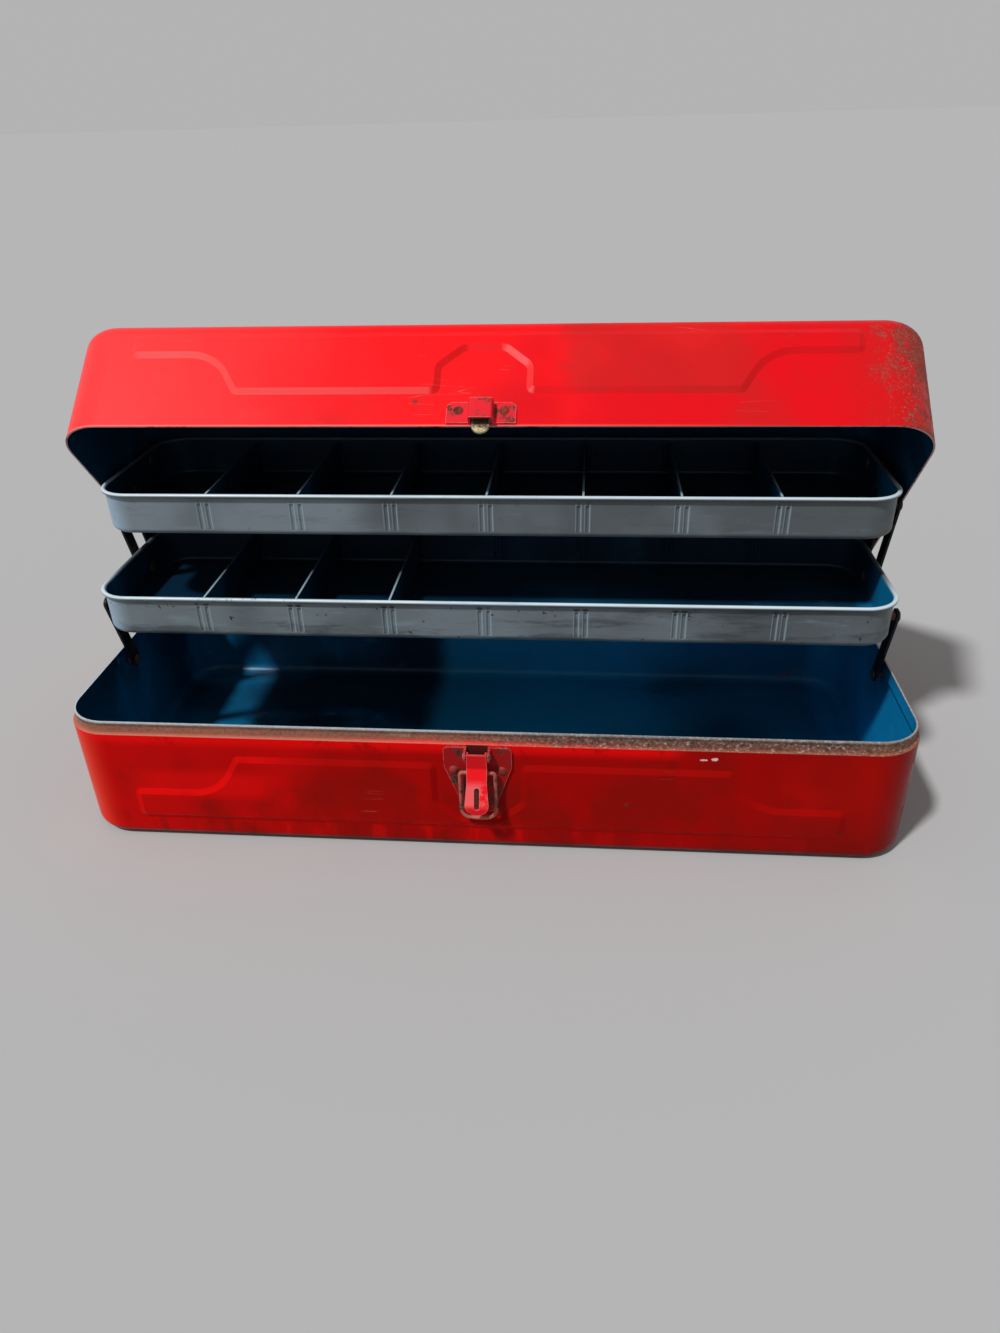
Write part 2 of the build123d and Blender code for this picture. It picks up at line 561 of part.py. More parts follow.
def latch_lever():
    """Bent sheet lever with side flanges, a slot and a rounded tip."""
    half, tip_half = LEVER_WIDTH / 2, LEVER_TIP_WIDTH / 2
    fold = FilletPolyline((LEVER_OUT, -LEVER_TOP), (LEVER_OUT, -LEVER_FOLD),
                          (LEVER_TIP_OUT, -LEVER_KNEE), (LEVER_TIP_OUT, -LEVER_TIP),
                          radius=LEVER_BEND_R)
    lever = extrude(side_plane(tip_half) * trace(fold, LEVER_SHEET), LEVER_TIP_WIDTH)
    right = [(half, -LEVER_TOP), (half, -FLANGE_FOOT), (tip_half, -LEVER_TIP + tip_half)]
    left = [(-x, height) for x, height in reversed(right)]
    outline = make_face(Polyline(*right, *left, close=True))
    outline += Pos(0, -LEVER_TIP + tip_half) * Circle(tip_half)
    slot = SlotOverall(SLOT_BOTTOM - SLOT_TOP, SLOT_WIDTH, rotation=90)
    outline -= Pos(0, -(SLOT_TOP + SLOT_BOTTOM) / 2) * slot
    lever &= extrude(FRONT_PLANE * outline, 2 * LEVER_TIP_OUT)
    foot_out = LEVER_OUT + (FLANGE_FOOT - LEVER_FOLD) * (LEVER_TIP_OUT - LEVER_OUT) / (
        LEVER_KNEE - LEVER_FOLD)
    flange = make_face(Polyline(
        (LEVER_OUT, -LEVER_TOP), (LATCH_PIN_OUT - 0.6, -LEVER_TOP),
        (LATCH_PIN_OUT - 2.0, -LATCH_PIN_DOWN), (FLANGE_BACK, -BAIL_DOWN + BUSH_R),
        (FLANGE_BACK, -FLANGE_FOOT), (foot_out, -FLANGE_FOOT), (LEVER_OUT, -LEVER_FOLD),
        close=True))
    flange -= Pos(LATCH_PIN_OUT, -LATCH_PIN_DOWN) * Circle(LATCH_PIN_R + FIT)
    flange -= Pos(BAIL_OUT, -BAIL_DOWN) * Circle(BUSH_R + FIT)
    for cheek in both_ends(extrude(side_plane(half) * flange, EAR_SHEET)):
        lever += cheek
    return lever


def bail_bush():
    """Tube held in the lever's flanges; the bail's ends turn in it."""
    reach = LEVER_WIDTH / 2 + BUSH_OVER
    y, z = FRONT - BAIL_OUT, BASE_HEIGHT - BAIL_DOWN
    return rod_x(-reach, reach, BUSH_R, y, z) - rod_x(-reach, reach, BAIL_WIRE_R + FIT, y, z)


def latch_bail():
    """Wire bail hanging from the lever, its ends turned in."""
    end, low = LEVER_WIDTH / 2 - 2 * EAR_SHEET, -BAIL_DOWN - BAIL_LENGTH
    corners = [(-end, -BAIL_DOWN), (-BAIL_SPREAD, -BAIL_DOWN), (-BAIL_SPREAD, low),
               (BAIL_SPREAD, low), (BAIL_SPREAD, -BAIL_DOWN), (end, -BAIL_DOWN)]
    radii = [BAIL_TURN_R, BAIL_BEND_R, BAIL_BEND_R, BAIL_TURN_R]
    path = FRONT_PLANE.offset(BAIL_OUT) * FilletPolyline(*corners, radius=radii)
    return sweep(Plane(origin=path @ 0, z_dir=path % 0) * Circle(BAIL_WIRE_R), path)


def front_rivets(places, sheet):
    """Domed rivets through a fitting and the front wall; (x, height) from the shoulder."""
    return [FRONT_PLANE.offset(sheet) * Pos(x, h) * domed_rivet(sheet + SHEET) for x, h in places]


# ---- Catch on the shut lid -------------------------------------------------------------------------
def lid_catch():
    """Riveted bracket with a hollow hump, open below, that the bail hooks over."""
    height = CATCH_TOP - CATCH_BOTTOM
    tabs = Rectangle(CATCH_WIDTH, height, align=(Align.CENTER, Align.MIN))
    tabs = fillet(tabs.vertices().group_by(Axis.Y)[-1], CATCH_ROUND)
    tabs = Pos(0, CATCH_BOTTOM) * tabs
    for x in (-CATCH_RIVET_X, CATCH_RIVET_X):
        tabs -= Pos(x, CATCH_RIVET_UP) * Circle(RIVET_R + FIT)
    catch = extrude(FRONT_PLANE * tabs, LATCH_SHEET)
    rise = HUMP_TOP - CATCH_BOTTOM
    stand = FRONT_PLANE * Pos(0, CATCH_BOTTOM) * Rectangle(
        HUMP_WIDTH, rise, align=(Align.CENTER, Align.MIN))
    hump = extrude(stand, HUMP_OUT)
    hump = fillet(hump.edges().filter_by(Axis.Z).group_by(Axis.Y)[0], HUMP_ROUND)
    catch += hump
    hollow = FRONT_PLANE * Pos(0, CATCH_BOTTOM - 1) * Rectangle(
        HUMP_WIDTH - 2 * LATCH_SHEET, rise + 1 - LATCH_SHEET, align=(Align.CENTER, Align.MIN))
    catch -= extrude(hollow, HUMP_OUT - LATCH_SHEET)
    return Pos(0, 0, SEAM) * catch


def catch_tongue():
    """Joggled tongue riveted inside the hump; its round end drops into the latch plate."""
    middle = LATCH_SHEET / 2
    line = Polyline((middle, TONGUE_TOP + RIVET_HEAD_R), (middle, CATCH_BOTTOM),
                    (middle + TONGUE_SET, CATCH_BOTTOM / 4), (middle + TONGUE_SET, -TONGUE_TIP))
    half = TONGUE_WIDTH / 2
    tongue = extrude(side_plane(half) * trace(line, LATCH_SHEET), TONGUE_WIDTH)
    top = TONGUE_TOP + RIVET_HEAD_R
    outline = Pos(0, top) * Rectangle(TONGUE_WIDTH, top + TONGUE_TIP - half, align=(Align.CENTER, Align.MAX))
    outline += Pos(0, half - TONGUE_TIP) * Circle(half)
    outline -= Pos(0, CATCH_RIVET_UP) * Circle(RIVET_R + FIT)
    tongue &= extrude(FRONT_PLANE * outline, HUMP_OUT)
    tip = tongue.edges().filter_by(GeomType.CIRCLE).group_by(Axis.Z)[0].sort_by(Axis.Y)[0]
    tongue = chamfer(tip, TONGUE_BEVEL)
    return Pos(0, 0, SEAM) * tongue


# ---- Carrying handle on the shut lid ---------------------------------------------------------------
def saddle_rivet_places():
    return [(x, y) for x in (-SADDLE_X, SADDLE_X) for y in (-SADDLE_RIVET_Y, SADDLE_RIVET_Y)]


def handle_saddle(x):
    """Strap bent over the handle's end and riveted to the lid in front of it and behind."""
    plane = Plane(origin=(x - SADDLE_WIDTH / 2, 0, LID_TOP), x_dir=(0, 1, 0), z_dir=(1, 0, 0))
    bore, outer = HANDLE_R + FIT, HANDLE_R + FIT + SADDLE_SHEET
    strap = Rectangle(SADDLE_LENGTH, SADDLE_SHEET, align=(Align.CENTER, Align.MIN))
    strap += Pos(0, HANDLE_LIFT) * Circle(outer)
    strap += Rectangle(2 * outer, HANDLE_LIFT, align=(Align.CENTER, Align.MIN))
    strap -= Pos(0, HANDLE_LIFT) * Circle(bore)
    strap -= Rectangle(2 * bore, HANDLE_LIFT, align=(Align.CENTER, Align.MIN))
    strap -= Rectangle(SADDLE_LENGTH, 4 * SADDLE_SHEET, align=(Align.CENTER, Align.MAX))
    saddle = extrude(plane * strap, SADDLE_WIDTH)
    for hole_x, y in saddle_rivet_places():
        saddle -= Pos(hole_x, y, LID_TOP) * Cylinder(RIVET_R + FIT, 4 * SADDLE_SHEET)
    return saddle


def carrying_handle():
    """Round bar handle folded back flat on the lid, its ends turned out into the saddles."""
    corners = [(-HANDLE_END_X, 0), (-HANDLE_LEG_X, 0), (-HANDLE_LEG_X, HANDLE_REACH),
               (HANDLE_LEG_X, HANDLE_REACH), (HANDLE_LEG_X, 0), (HANDLE_END_X, 0)]
    radii = [HANDLE_TURN_R, HANDLE_BEND_R, HANDLE_BEND_R, HANDLE_TURN_R]
    path = Plane.XY.offset(LID_TOP + HANDLE_LIFT) * FilletPolyline(*corners, radius=radii)
    return sweep(Plane(origin=path @ 0, z_dir=path % 0) * Circle(HANDLE_R), path)


def handle_rivets():
    return [Pos(x, y, LID_TOP + SADDLE_SHEET) * domed_rivet(SADDLE_SHEET + SHEET)
            for x, y in saddle_rivet_places()]


# ---- Build -----------------------------------------------------------------------------------------
os.makedirs("parts", exist_ok=True)

save("base_shell", base_shell())
save("latch_plate", latch_plate())
save("latch_plate_rivets", *front_rivets(
    [(-LATCH_RIVET_X, -LATCH_RIVET_DOWN), (LATCH_RIVET_X, -LATCH_RIVET_DOWN)], LATCH_SHEET))
save("latch_pin", latch_pin())
save("latch_lever", latch_lever())
save("latch_bail_bush", bail_bush())
save("latch_bail", latch_bail())
save("base_pivot_rivets", *wall_pivots(BASE_PIVOTS))

save("lid_shell", opened(lid_shell()))
save("lid_catch", opened(lid_catch()))
save("catch_tongue", opened(catch_tongue()))
save("catch_rivets", *[opened(rivet) for rivet in front_rivets(
    [(x, SEAM + CATCH_RIVET_UP) for x in (-CATCH_RIVET_X, 0, CATCH_RIVET_X)], LATCH_SHEET)])
save("carrying_handle", opened(carrying_handle()))
save("handle_rivets", *[opened(rivet) for rivet in handle_rivets()])
save("lid_pivot_rivets", *[opened(rivet) for rivet in wall_pivots([(LINK_LID_SHUT, OUTER_ARM)])])

for side, way in (("left", -1), ("right", 1)):
    save(f"hinge_base_leaf_{side}", hinge_leaf(way * HINGE_X, -1))
    save(f"hinge_lid_leaf_{side}", opened(hinge_leaf(way * HINGE_X, 1)))
    save(f"hinge_pin_{side}", hinge_pin(way * HINGE_X))
    save(f"handle_saddle_{side}", opened(handle_saddle(way * SADDLE_X)))
save("hinge_base_rivets", *hinge_rivets(-1))
save("hinge_lid_rivets", *[opened(rivet) for rivet in hinge_rivets(1)])

save("lower_tray", tray(LOWER_TRAY_FRONT, LOWER_TRAY_Z, LOWER_PIVOTS))
save("lower_tray_pivot_rivets", *tray_pivots(LOWER_PIVOTS))
save("upper_tray", tray(UPPER_TRAY_FRONT, UPPER_TRAY_Z, UPPER_PIVOTS))
save("upper_tray_pivot_rivets", *tray_pivots(UPPER_PIVOTS))
for number, x in enumerate(slot_positions(), 1):
    if number <= LOWER_SLOTS_USED:
        save(f"lower_divider_{number}", divider(x, LOWER_TRAY_FRONT, LOWER_TRAY_Z))
    save(f"upper_divider_{number}", divider(x, UPPER_TRAY_FRONT, UPPER_TRAY_Z))

for name, right_bar in arms().items():
    right, left = both_ends(right_bar)
    save(f"{name}_right", right)
    save(f"{name}_left", left)
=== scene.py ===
import json
import math

import bpy
from mathutils import Matrix, Vector

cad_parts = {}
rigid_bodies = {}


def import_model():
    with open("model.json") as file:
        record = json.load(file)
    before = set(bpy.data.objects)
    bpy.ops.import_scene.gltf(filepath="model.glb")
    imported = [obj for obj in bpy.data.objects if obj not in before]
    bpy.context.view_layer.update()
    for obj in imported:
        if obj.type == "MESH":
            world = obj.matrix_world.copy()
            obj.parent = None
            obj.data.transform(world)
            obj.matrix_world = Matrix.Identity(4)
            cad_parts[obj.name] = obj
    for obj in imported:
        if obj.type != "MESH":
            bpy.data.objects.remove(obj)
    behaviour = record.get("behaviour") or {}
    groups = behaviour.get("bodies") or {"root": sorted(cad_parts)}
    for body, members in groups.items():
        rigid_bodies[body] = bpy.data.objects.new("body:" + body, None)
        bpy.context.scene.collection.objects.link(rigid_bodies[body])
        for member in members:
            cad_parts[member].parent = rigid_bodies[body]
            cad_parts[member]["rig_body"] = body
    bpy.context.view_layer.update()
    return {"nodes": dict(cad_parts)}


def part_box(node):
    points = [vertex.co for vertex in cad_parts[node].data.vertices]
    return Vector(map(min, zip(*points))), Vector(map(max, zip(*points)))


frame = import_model()

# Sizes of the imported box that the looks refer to, in metres.
HINGE = (0.0, 0.08575, 0.06175)
LID_OPEN = math.radians(50.5)
SHOULDER = 0.0616
FRONT = -0.0828
END = 0.203
LID_RIM = 0.0619
LID_TOP = 0.1221
SHEET = 0.0008
RIM_WIDE = 0.0023
RIM_IN = 0.0016
RIM_CORNER = 0.0176
SLOT_PITCH = 0.0464
RIB_OFFSET = 0.0021
LID_BODIES = ("lid", "handle")
LID_FRONT_NORMAL = (0.0, -math.cos(LID_OPEN), math.sin(LID_OPEN))
# Two small chips of paint under the lip: middle x and z, and half their size.
PALE_CHIPS = ((0.1035, 0.0564, 0.0026, 0.0008), (0.1082, 0.0570, 0.0022, 0.0010))


# ---- Shader building ---------------------------------------------------------------------------
class Value:
    """A float output of a node tree that adds and multiplies like a number."""

    def __init__(self, look, socket):
        self.look, self.socket = look, socket

    def _math(self, op, other, swap=False):
        a, b = (other, self) if swap else (self, other)
        return self.look.math(op, a, b)

    def __add__(self, other): return self._math("ADD", other)
    def __radd__(self, other): return self._math("ADD", other)
    def __sub__(self, other): return self._math("SUBTRACT", other)
    def __rsub__(self, other): return self._math("SUBTRACT", other, True)
    def __mul__(self, other): return self._math("MULTIPLY", other)
    def __rmul__(self, other): return self._math("MULTIPLY", other)
    def __truediv__(self, other): return self._math("DIVIDE", other)
    def __abs__(self): return self.look.math("ABSOLUTE", self)

    def ramp(self, low, high, to=1.0):
        """0 at low and to at high, smooth between; low may be the larger."""
        return self.look.node("ShaderNodeMapRange", 0, {0: self, 1: low, 2: high, 4: to},
                              interpolation_type="SMOOTHSTEP")

    def least(self, other): return self.look.math("MINIMUM", self, other)
    def most(self, other): return self.look.math("MAXIMUM", self, other)
    def clamp(self): return self.look.math("MAXIMUM", self.look.math("MINIMUM", self, 1.0), 0.0)


class Look:
    """One procedural material. Positions are in the shut box's own frame, in metres."""

    def __init__(self, name, rough, metal=0.0, coat=0.0, spec=0.5):
        self.material = bpy.data.materials.new(name)
        self.material.use_nodes = True
        self.tree = self.material.node_tree
        self.shader = self.tree.nodes["Principled BSDF"]
        self.shader.inputs["Roughness"].default_value = rough
        self.shader.inputs["Metallic"].default_value = metal
        self.shader.inputs["Coat Weight"].default_value = coat
        self.shader.inputs["Coat Roughness"].default_value = 0.18
        self.shader.inputs["Specular IOR Level"].default_value = spec

    def link(self, source, target):
        if isinstance(source, Value):
            source = source.socket
        if isinstance(source, bpy.types.NodeSocket):
            self.tree.links.new(source, target)
        else:
            target.default_value = source

    def node(self, kind, output, inputs, **settings):
        n = self.tree.nodes.new(kind)
        for key, value in settings.items():
            setattr(n, key, value)
        for key, value in inputs.items():
            self.link(value, n.inputs[key])
        return Value(self, n.outputs[output])

    def math(self, op, a, b=0.0):
        return self.node("ShaderNodeMath", 0, {0: a, 1: b}, operation=op)

    def place(self, lid=False):
        """Position on the shut box; the lid's mesh is stored turned back."""
        spot = self.node("ShaderNodeTexCoord", "Object", {})
        if lid:
            spot = self.node("ShaderNodeVectorRotate", 0,
                             {"Vector": spot, "Center": HINGE, "Angle": LID_OPEN},
                             rotation_type="X_AXIS")
        return spot

    def axes(self, spot):
        n = self.tree.nodes.new("ShaderNodeSeparateXYZ")
        self.link(spot, n.inputs[0])
        return [Value(self, s) for s in n.outputs]

    def edges(self, radius):
        """1 on edges sharper than radius, 0 on flat and gently curved faces."""
        soft = self.node("ShaderNodeBevel", 0, {"Radius": radius}, samples=6)
        hard = self.node("ShaderNodeNewGeometry", "Normal", {})
        return self.node("ShaderNodeVectorMath", "Value", {0: soft, 1: hard},
                         operation="DOT_PRODUCT").ramp(0.98, 0.80)

    def tilt(self, flat):
        """0 where the surface faces along flat, 1 where it leans 15 degrees or more from it."""
        normal = self.node("ShaderNodeTexCoord", "Normal", {})
        return self.node("ShaderNodeVectorMath", "Value", {0: normal, 1: flat},
                         operation="DOT_PRODUCT").ramp(0.998, 0.965)

    def noise(self, spot, scale, detail=4.0, rough=0.55, stretch=None, shift=0.0):
        if stretch or shift:
            spot = self.node("ShaderNodeMapping", 0,
                             {"Vector": spot, "Scale": stretch or (1, 1, 1),
                              "Location": (shift, shift * 0.7, shift * 0.3)})
        return self.node("ShaderNodeTexNoise", "Fac",
                         {"Vector": spot, "Scale": scale, "Detail": detail, "Roughness": rough})

    def cells(self, spot, scale, stretch=None):
        if stretch:
            spot = self.node("ShaderNodeMapping", 0, {"Vector": spot, "Scale": stretch})
        return self.node("ShaderNodeTexVoronoi", "Distance", {"Vector": spot, "Scale": scale})

    def mix(self, share, a, b):
        """Colour a where share is 0 and b where it is 1."""
        n = self.tree.nodes.new("ShaderNodeMix")
        n.data_type = "RGBA"
        self.link(share, n.inputs[0])
        for source, target in ((a, n.inputs[6]), (b, n.inputs[7])):
            self.link((*source, 1.0) if isinstance(source, tuple) else source, target)
        return Value(self, n.outputs[2])

    def finish(self, colour, rough=None, metal=None, height=None, depth=0.0002, coat=None):
        self.link(colour, self.shader.inputs["Base Color"])
        if rough is not None:
            self.link(rough, self.shader.inputs["Roughness"])
        if metal is not None:
            self.link(metal, self.shader.inputs["Metallic"])
        if coat is not None:
            self.link(coat, self.shader.inputs["Coat Weight"])
        if height is not None:
            bump = self.node("ShaderNodeBump", 0, {"Height": height, "Distance": depth, "Strength": 1.0})
            self.link(bump, self.shader.inputs["Normal"])
        return self.material


# ---- Colours -------------------------------------------------------------------------------------
LID_RED = (0.94, 0.004, 0.008)
LID_DULL_AND_SHADED = (0.74, 0.001, 0.007)
LID_LIT_PINK = (0.97, 0.050, 0.053)
BASE_RED = (0.61, 0.0008, 0.0003)
BASE_DULL_AND_SHADED = (0.38, 0.0010, 0.0004)
BASE_LIT_ORANGE = (0.88, 0.045, 0.009)
BASE_BROWN = (0.21, 0.004, 0.001)
FRESH_AND_LIT_RED = (0.92, 0.002, 0.002)
LEVER_RED = (0.95, 0.006, 0.012)
LEVER_PINK = (0.95, 0.155, 0.165)
LEVER_DULL = (0.60, 0.002, 0.008)
WORN_AND_SHADED_RED = (0.40, 0.014, 0.010)
BROWN = (0.125, 0.035, 0.026)
RUST = (0.25, 0.098, 0.068)
DARK = (0.022, 0.015, 0.012)
TAN = (0.35, 0.130, 0.075)
PALE_TAN = (0.58, 0.33, 0.22)
LIP_BROWN = (0.18, 0.082, 0.052)
OCHRE = (0.34, 0.14, 0.035)
SHOULDER_TAN = (0.48, 0.14, 0.09)
SHOULDER_RED = (0.88, 0.040, 0.040)
BARE = (0.70, 0.64, 0.60)
PINK = (0.92, 0.26, 0.24)
CHIP_PINK = (0.95, 0.55, 0.55)
BLUE = (0.003, 0.25, 0.54)
LIT_BAND_BLUE = (0.012, 0.36, 0.66)
DEEP_BLUE = (0.0015, 0.042, 0.100)
SHADE_BLUE = (0.0008, 0.012, 0.028)
SCUFF_BLUE = (0.06, 0.28, 0.48)
GREY = (0.215, 0.265, 0.300)
DARK_GREY = (0.095, 0.112, 0.122)
STREAK_GREY = (0.045, 0.052, 0.058)
RIB_HIGHLIGHT = (0.36, 0.46, 0.52)
LIT_END_BLUE = (0.33, 0.47, 0.60)
PALE = (0.62, 0.74, 0.80)
DULL_PALE = (0.27, 0.37, 0.43)
BLACK = (0.012, 0.012, 0.013)
STEEL = (0.42, 0.40, 0.37)
BRASS = (0.62, 0.50, 0.27)
TARNISH = (0.10, 0.055, 0.022)


def scratches(look, spot, blotch, shift):
    """Sparse hairline scratches along the box, only where blotch allows them."""
    grain = look.noise(spot, 34.0, 2.0, 0.35, stretch=(0.35, 1.0, 5.0), shift=shift)
    return abs(grain - 0.5).ramp(0.006, 0.0) * blotch.ramp(0.60, 0.68)


def lid_paint():
    """Gloss enamel on the lid: painted lighter pink over the left of its front half as painted light,
    duller red towards the right, partly painted shade, dulled in brown patches right of the middle,
    and rusted in specks down the right corner."""
    look = Look("lid_red_enamel", 0.36, spec=0.14)
    spot = look.place(True)
    x, y, z = look.axes(spot)
    cloud = look.noise(spot, 11.0, 3.0, 0.5)
    blotch = look.noise(spot, 24.0, 6.0, 0.62, shift=3.0)
    grime = look.noise(spot, 75.0, 8.0, 0.7, shift=5.0)
    fine = look.noise(spot, 420.0, 3.0, 0.6)
    speck = look.noise(spot, 900.0, 2.0, 0.5, shift=7.0)
    # Painted shade and light: duller red in clouds, partly uneven paint and partly painted shade growing
    # towards the right; then lighter pink over the left of the front half as painted light.
    colour = look.mix((cloud + x * 0.9).ramp(0.46, 0.64) * 0.85, LID_RED, LID_DULL_AND_SHADED)
    painted_light_front = (y + blotch * 0.04).ramp(0.080, 0.000).most(0.35)
    colour = look.mix((x + cloud * 0.08).ramp(0.00, -0.16) * painted_light_front * 0.85, colour, LID_LIT_PINK)
    # dull brown patches right of the middle, thickest well above the rim
    middle = abs(x - 0.080).ramp(0.055, 0.030) * z.ramp(0.074, 0.084)
    patch = (blotch * 0.5 + cloud * 0.5 + middle * 0.16).ramp(0.52, 0.68) * 0.42
    colour = look.mix(patch * x.ramp(-0.12, -0.03), colour, WORN_AND_SHADED_RED)
    # painted highlight and shade on the pressed edges: slopes facing the key light, at the left and on the
    # notch's right side, are painted paler, partly rubbed paint; slopes facing away are painted duller, partly
    # worn paint
    slope = look.tilt(LID_FRONT_NORMAL) * abs(x).ramp(0.1715, 0.1640) * z.ramp(0.1080, 0.1060)
    slope = slope * z.ramp(0.0780, 0.0790) * (y + 0.0815).ramp(0.0006, 0.0)
    lit_and_rubbed_slopes = abs(x - 0.0155).ramp(0.0085, 0.0070) * 0.5 + x.ramp(-0.0235, -0.0255)
    colour = look.mix(slope * lit_and_rubbed_slopes.clamp() * (0.10 + cloud * 0.22), colour, PINK)
    shaded_and_worn_slopes = x.ramp(0.03, 0.10) * 0.7 + abs(x + 0.0160).ramp(0.0080, 0.0070)
    colour = look.mix(slope * shaded_and_worn_slopes * (0.05 + blotch * 0.55), colour, WORN_AND_SHADED_RED)
    colour = look.mix(scratches(look, spot, blotch, 1.3) * 0.35, colour, PINK)
    # specks of rust and bare metal down the right corner, thinner along the rim and the top
    corner = x.ramp(0.152, 0.196) * y.ramp(-0.030, -0.076).most(0.22)
    edge = corner.most(z.ramp(0.066, 0.062) * 0.35).most(z.ramp(0.116, 0.122) * 0.3)
    worn = (grime + edge * 0.26 - 0.66).ramp(0.0, 0.14) * edge
    colour = look.mix(corner * 0.45, colour, WORN_AND_SHADED_RED)
    colour = look.mix(worn * 0.60, colour, BROWN)
    rust = (grime * 0.5 + speck * 0.5 + edge * 0.2 - 0.66).ramp(0.0, 0.06) * edge
    colour = look.mix(rust * 0.50, colour, RUST)
    colour = look.mix((speck + corner * 0.12 - 0.76).ramp(0.0, 0.04) * corner, colour, TAN)
    chips = look.cells(spot, 60.0).ramp(0.10, 0.06) * blotch.ramp(0.60, 0.66)
    colour = look.mix(chips * 0.7, colour, BROWN)
    # a rubbed line of bare metal along the rim
    rim_line = z.ramp(0.0632, 0.0622) * (0.35 + grime * 0.6) * x.ramp(0.16, -0.05, 0.8)
    colour = look.mix(rim_line, colour, PINK)
    rough = 0.28 + patch * 0.25 + worn * 0.3 + fine * 0.10
    height = fine * 0.06 + cloud * 0.8 - worn * 0.5 + speck * 0.15 * edge
    return look.finish(colour, rough=rough, height=height, depth=0.0004)


def base_paint():
    """Gloss enamel on the base: deeper red with broad dull patches, duller to the right partly as painted
    shade, brighter under the lip, painted lighter down the left corner as painted light, with a dark
    scuffed strip at the foot."""
    look = Look("base_red_enamel", 0.34, spec=0.07)
    spot = look.place()
    x, y, z = look.axes(spot)
    cloud = look.noise(spot, 12.0, 3.0, 0.5, shift=4.0)
    blotch = look.noise(spot, 26.0, 6.0, 0.62, stretch=(1.0, 1.0, 0.6), shift=9.0)
    grime = look.noise(spot, 75.0, 8.0, 0.7, shift=5.0)
    fine = look.noise(spot, 420.0, 3.0, 0.6)
    speck = look.noise(spot, 900.0, 2.0, 0.5, shift=7.0)
    # Duller red in clouds, a little more towards the right: partly uneven paint, partly painted shade.
    colour = look.mix((cloud + x * 0.3).ramp(0.38, 0.56) * 0.9, BASE_RED, BASE_DULL_AND_SHADED)
    low = z.ramp(0.050, 0.030)
    patch = (blotch * 0.5 + cloud * 0.5 + low * 0.04).ramp(0.50, 0.60) * 0.50
    colour = look.mix(patch, colour, BASE_BROWN)
    colour = look.mix(x.ramp(0.120, 0.170) * (0.3 + cloud * 0.4), colour, BASE_BROWN)
    # Painted light: the left corner is painted lighter orange, most towards the front, where the key light
    # falls.
    colour = look.mix(x.ramp(-0.180, -0.201) * y.ramp(-0.040, -0.080).most(0.2) * 0.9, colour, BASE_LIT_ORANGE)
    # a painted highlight: brighter red around the pressed curve at the left, where light catches its upper
    # edge
    above = (abs(x + 0.135).ramp(0.045, 0.020) * abs(z - 0.034).ramp(0.011, 0.003) * (0.3 + blotch * 0.6))
    colour = look.mix(above, colour, FRESH_AND_LIT_RED)
    # bright fresh paint just under the shoulder
    fresh = z.ramp(0.0540, 0.0600) * grime.ramp(0.66, 0.50) * (x.ramp(0.100, 0.085) * 0.9)
    colour = look.mix(fresh, colour, FRESH_AND_LIT_RED)
    # upright smears near the foot
    smear = look.noise(spot, 60.0, 4.0, 0.5, stretch=(1.5, 1.0, 0.3), shift=11.0)
    foot = z.ramp(0.019, 0.010) * x.ramp(0.10, 0.00).most(0.35)
    colour = look.mix((smear.ramp(0.55, 0.66) * foot) * 0.35, colour, FRESH_AND_LIT_RED)
    colour = look.mix((smear.ramp(0.46, 0.36) * foot) * 0.55, colour, BASE_BROWN)
    colour = look.mix(z.ramp(0.0045, 0.0015) * (0.4 + grime * 0.6), colour, BROWN)
    # Painted shade on the panel's slopes right of the left curve, and a painted highlight of brighter red on
    # them at the left curve.
    slope = look.tilt((0.0, -1.0, 0.0)) * abs(x).ramp(0.1725, 0.1715) * z.ramp(0.0160, 0.0180)
    slope = slope * z.ramp(0.0512, 0.0508) * (y + 0.0815).ramp(0.0006, 0.0)
    colour = look.mix(slope * x.ramp(-0.110, -0.085) * 0.45, colour, BASE_DULL_AND_SHADED)
    colour = look.mix(slope * x.ramp(-0.085, -0.110) * grime.ramp(0.40, 0.55) * 0.3, colour, FRESH_AND_LIT_RED)
    # Painted light: the panel's downward-facing lower edge is painted brighter red, lifting the shade on it.
    under = look.tilt((0.0, -1.0, 0.0)) * abs(z - 0.0110).ramp(0.0035, 0.0025) * (y + 0.0815).ramp(0.0006, 0.0)
    under = under * abs(x).ramp(0.1725, 0.1715)
    colour = look.mix(under * (0.2 + blotch * 0.7), colour, FRESH_AND_LIT_RED)
    colour = look.mix(scratches(look, spot, blotch, 6.1) * 0.25, colour, PINK)
    corner = x.ramp(0.190, 0.203) * y.ramp(-0.030, -0.076).most(0.2)
    worn = (grime + corner * 0.22 - 0.70).ramp(0.0, 0.12) * (0.12 + corner * 0.7)
    colour = look.mix(worn, colour, BROWN)
    chips = look.cells(spot, 70.0).ramp(0.09, 0.055) * blotch.ramp(0.58, 0.64)
    colour = look.mix(chips * 0.7, colour, BROWN)
    torn = look.noise(spot, 620.0, 4.0, 0.7, shift=3.0)
    for mark_x, mark_z, wide, high in PALE_CHIPS:
        spread = ((x - mark_x) / wide) * ((x - mark_x) / wide) + ((z - mark_z) / high) * ((z - mark_z) / high)
        colour = look.mix((spread + grime * 2.0 + torn * 3.2).ramp(3.2, 2.9), colour, CHIP_PINK)
    # painted shade: the wall seen through the mouth of the latch plate is painted dark
    mouth_shade = abs(x).ramp(0.0054, 0.0049) * z.ramp(0.0535, 0.0545)
    colour = look.mix(mouth_shade * (y + 0.0815).ramp(0.0006, 0.0) * 0.9, colour, DARK)
    rough = 0.26 + patch * 0.3 + worn * 0.3 + fine * 0.10 + slope * 0.3 + under * 0.6
    height = fine * 0.06 + cloud * 0.8 - worn * 0.5 + chips * 0.2
    return look.finish(colour, rough=rough, height=height, depth=0.0004)


